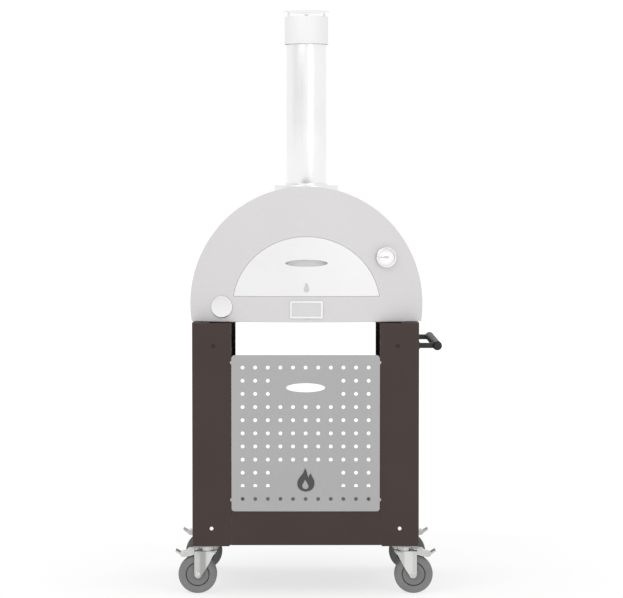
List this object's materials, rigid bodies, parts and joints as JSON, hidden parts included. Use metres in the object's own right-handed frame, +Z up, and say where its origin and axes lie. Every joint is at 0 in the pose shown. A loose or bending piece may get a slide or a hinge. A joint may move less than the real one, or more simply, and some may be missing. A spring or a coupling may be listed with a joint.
{
  "type": "wood fired pizza oven",
  "caption": "Domed pizza oven with a bowed front, lift-out door and capped flue, standing on a sheet-steel cart with a pull-off perforated front panel, side handle and braked castors.",
  "frame": {"origin": "on the floor, under the middle of the bounding box", "axes": "+Z up, -Y out of the front of the oven, +X towards the side with the cart handle"},
  "size_m": [0.699, 0.5182, 1.5346],
  "materials": {
    "brown_paint": "satin powder coat",
    "pale_paint": "satin powder coat",
    "stainless": "brushed",
    "vault_steel": "dull",
    "panel_paint": "satin powder coat",
    "zinc": "zinc plated",
    "tyre_rubber": "matt",
    "hub_plastic": "matt",
    "black_grip": "satin",
    "black_paint": "satin",
    "mark": "satin",
    "firebrick": "rough",
    "mineral_wool": "fibrous",
    "dial_white": "matt",
    "pointer_black": "matt",
    "gauge_glass": "clear"
  },
  "bodies": {
    "cart": {"left_side_panel": "brown_paint", "right_side_panel": "brown_paint", "storage_shelf": "brown_paint", "front_apron": "brown_paint", "rear_apron": "brown_paint", "apron_screw_left": "zinc", "apron_screw_right": "zinc", "upper_screw_left": "brown_paint", "upper_screw_right": "brown_paint", "handle_grip": "black_grip", "handle_arm_front": "black_paint", "handle_arm_rear": "black_paint", "castor_plate_front_left": "zinc", "castor_plate_front_right": "zinc", "castor_plate_rear_left": "zinc", "castor_plate_rear_right": "zinc", "oven_base_pan": "stainless", "facade": "pale_paint", "dome_shell": "pale_paint", "insulation_blanket": "mineral_wool", "cooking_vault": "vault_steel", "mouth_frame": "stainless", "floor_insulation_board": "mineral_wool", "hearth_tile_left": "firebrick", "hearth_tile_right": "firebrick", "name_plate": "stainless", "thermometer_case": "stainless", "thermometer_dial": "dial_white", "thermometer_glass": "gauge_glass", "thermometer_bezel": "stainless", "burner_port_cap": "stainless", "flue_collar": "stainless", "flue_pipe": "stainless", "chimney_sleeve": "stainless", "rain_disc": "stainless"},
    "front_panel": {"perforated_panel": "panel_paint", "panel_badge": "mark"},
    "door": {"oven_door": "stainless", "door_finger_recess": "stainless"},
    "gauge_pointer": {"thermometer_pointer": "pointer_black"},
    "fork_front_left": {"castor_fork_front_left": "zinc", "axle_front_left": "zinc"},
    "wheel_front_left": {"tyre_front_left": "tyre_rubber", "wheel_hub_front_left": "hub_plastic"},
    "brake_front_left": {"brake_pedal_front_left": "zinc"},
    "fork_front_right": {"castor_fork_front_right": "zinc", "axle_front_right": "zinc"},
    "wheel_front_right": {"tyre_front_right": "tyre_rubber", "wheel_hub_front_right": "hub_plastic"},
    "brake_front_right": {"brake_pedal_front_right": "zinc"},
    "fork_rear_left": {"castor_fork_rear_left": "zinc", "axle_rear_left": "zinc"},
    "wheel_rear_left": {"tyre_rear_left": "tyre_rubber", "wheel_hub_rear_left": "hub_plastic"},
    "brake_rear_left": {"brake_pedal_rear_left": "zinc"},
    "fork_rear_right": {"castor_fork_rear_right": "zinc", "axle_rear_right": "zinc"},
    "wheel_rear_right": {"tyre_rear_right": "tyre_rubber", "wheel_hub_rear_right": "hub_plastic"},
    "brake_rear_right": {"brake_pedal_rear_right": "zinc"}
  },
  "joints": [
    {"name": "front_panel_pull", "type": "slide", "parent": "cart", "child": "front_panel", "axis": [0, -1, 0], "range_m": [0, 0.25]},
    {"name": "oven_door_pull", "type": "slide", "parent": "cart", "child": "door", "axis": [0, -1, 0], "range_m": [0, 0.3]},
    {"name": "gauge_pointer_turn", "type": "hinge", "parent": "cart", "child": "gauge_pointer", "pos_m": [0.20116, -0.23534, 0.8836], "axis": [0.2385, -0.9711, 0], "range_deg": [-220, 40]},
    {"name": "castor_swivel_front_left", "type": "hinge", "parent": "cart", "child": "fork_front_left", "pos_m": [-0.2677, -0.1959, 0.1169], "axis": [0, 0, 1], "continuous": true},
    {"name": "wheel_roll_front_left", "type": "hinge", "parent": "fork_front_left", "child": "wheel_front_left", "pos_m": [-0.2912, -0.1959, 0.0506], "axis": [0, 1, 0], "continuous": true},
    {"name": "brake_press_front_left", "type": "hinge", "parent": "fork_front_left", "child": "brake_front_left", "pos_m": [-0.2877, -0.1959, 0.105], "axis": [0, -1, 0], "range_deg": [0, 3.8]},
    {"name": "castor_swivel_front_right", "type": "hinge", "parent": "cart", "child": "fork_front_right", "pos_m": [0.2523, -0.1959, 0.1169], "axis": [0, 0, 1], "continuous": true},
    {"name": "wheel_roll_front_right", "type": "hinge", "parent": "fork_front_right", "child": "wheel_front_right", "pos_m": [0.2758, -0.1959, 0.0506], "axis": [0, 1, 0], "continuous": true},
    {"name": "brake_press_front_right", "type": "hinge", "parent": "fork_front_right", "child": "brake_front_right", "pos_m": [0.2723, -0.1959, 0.105], "axis": [0, 1, 0], "range_deg": [0, 3.8]},
    {"name": "castor_swivel_rear_left", "type": "hinge", "parent": "cart", "child": "fork_rear_left", "pos_m": [-0.2677, 0.2041, 0.1169], "axis": [0, 0, 1], "continuous": true},
    {"name": "wheel_roll_rear_left", "type": "hinge", "parent": "fork_rear_left", "child": "wheel_rear_left", "pos_m": [-0.2912, 0.2041, 0.0506], "axis": [0, 1, 0], "continuous": true},
    {"name": "brake_press_rear_left", "type": "hinge", "parent": "fork_rear_left", "child": "brake_rear_left", "pos_m": [-0.2877, 0.2041, 0.105], "axis": [0, -1, 0], "range_deg": [0, 3.8]},
    {"name": "castor_swivel_rear_right", "type": "hinge", "parent": "cart", "child": "fork_rear_right", "pos_m": [0.2523, 0.2041, 0.1169], "axis": [0, 0, 1], "continuous": true},
    {"name": "wheel_roll_rear_right", "type": "hinge", "parent": "fork_rear_right", "child": "wheel_rear_right", "pos_m": [0.2758, 0.2041, 0.0506], "axis": [0, 1, 0], "continuous": true},
    {"name": "brake_press_rear_right", "type": "hinge", "parent": "fork_rear_right", "child": "brake_rear_right", "pos_m": [0.2723, 0.2041, 0.105], "axis": [0, 1, 0], "range_deg": [0, 3.8]}
  ]
}
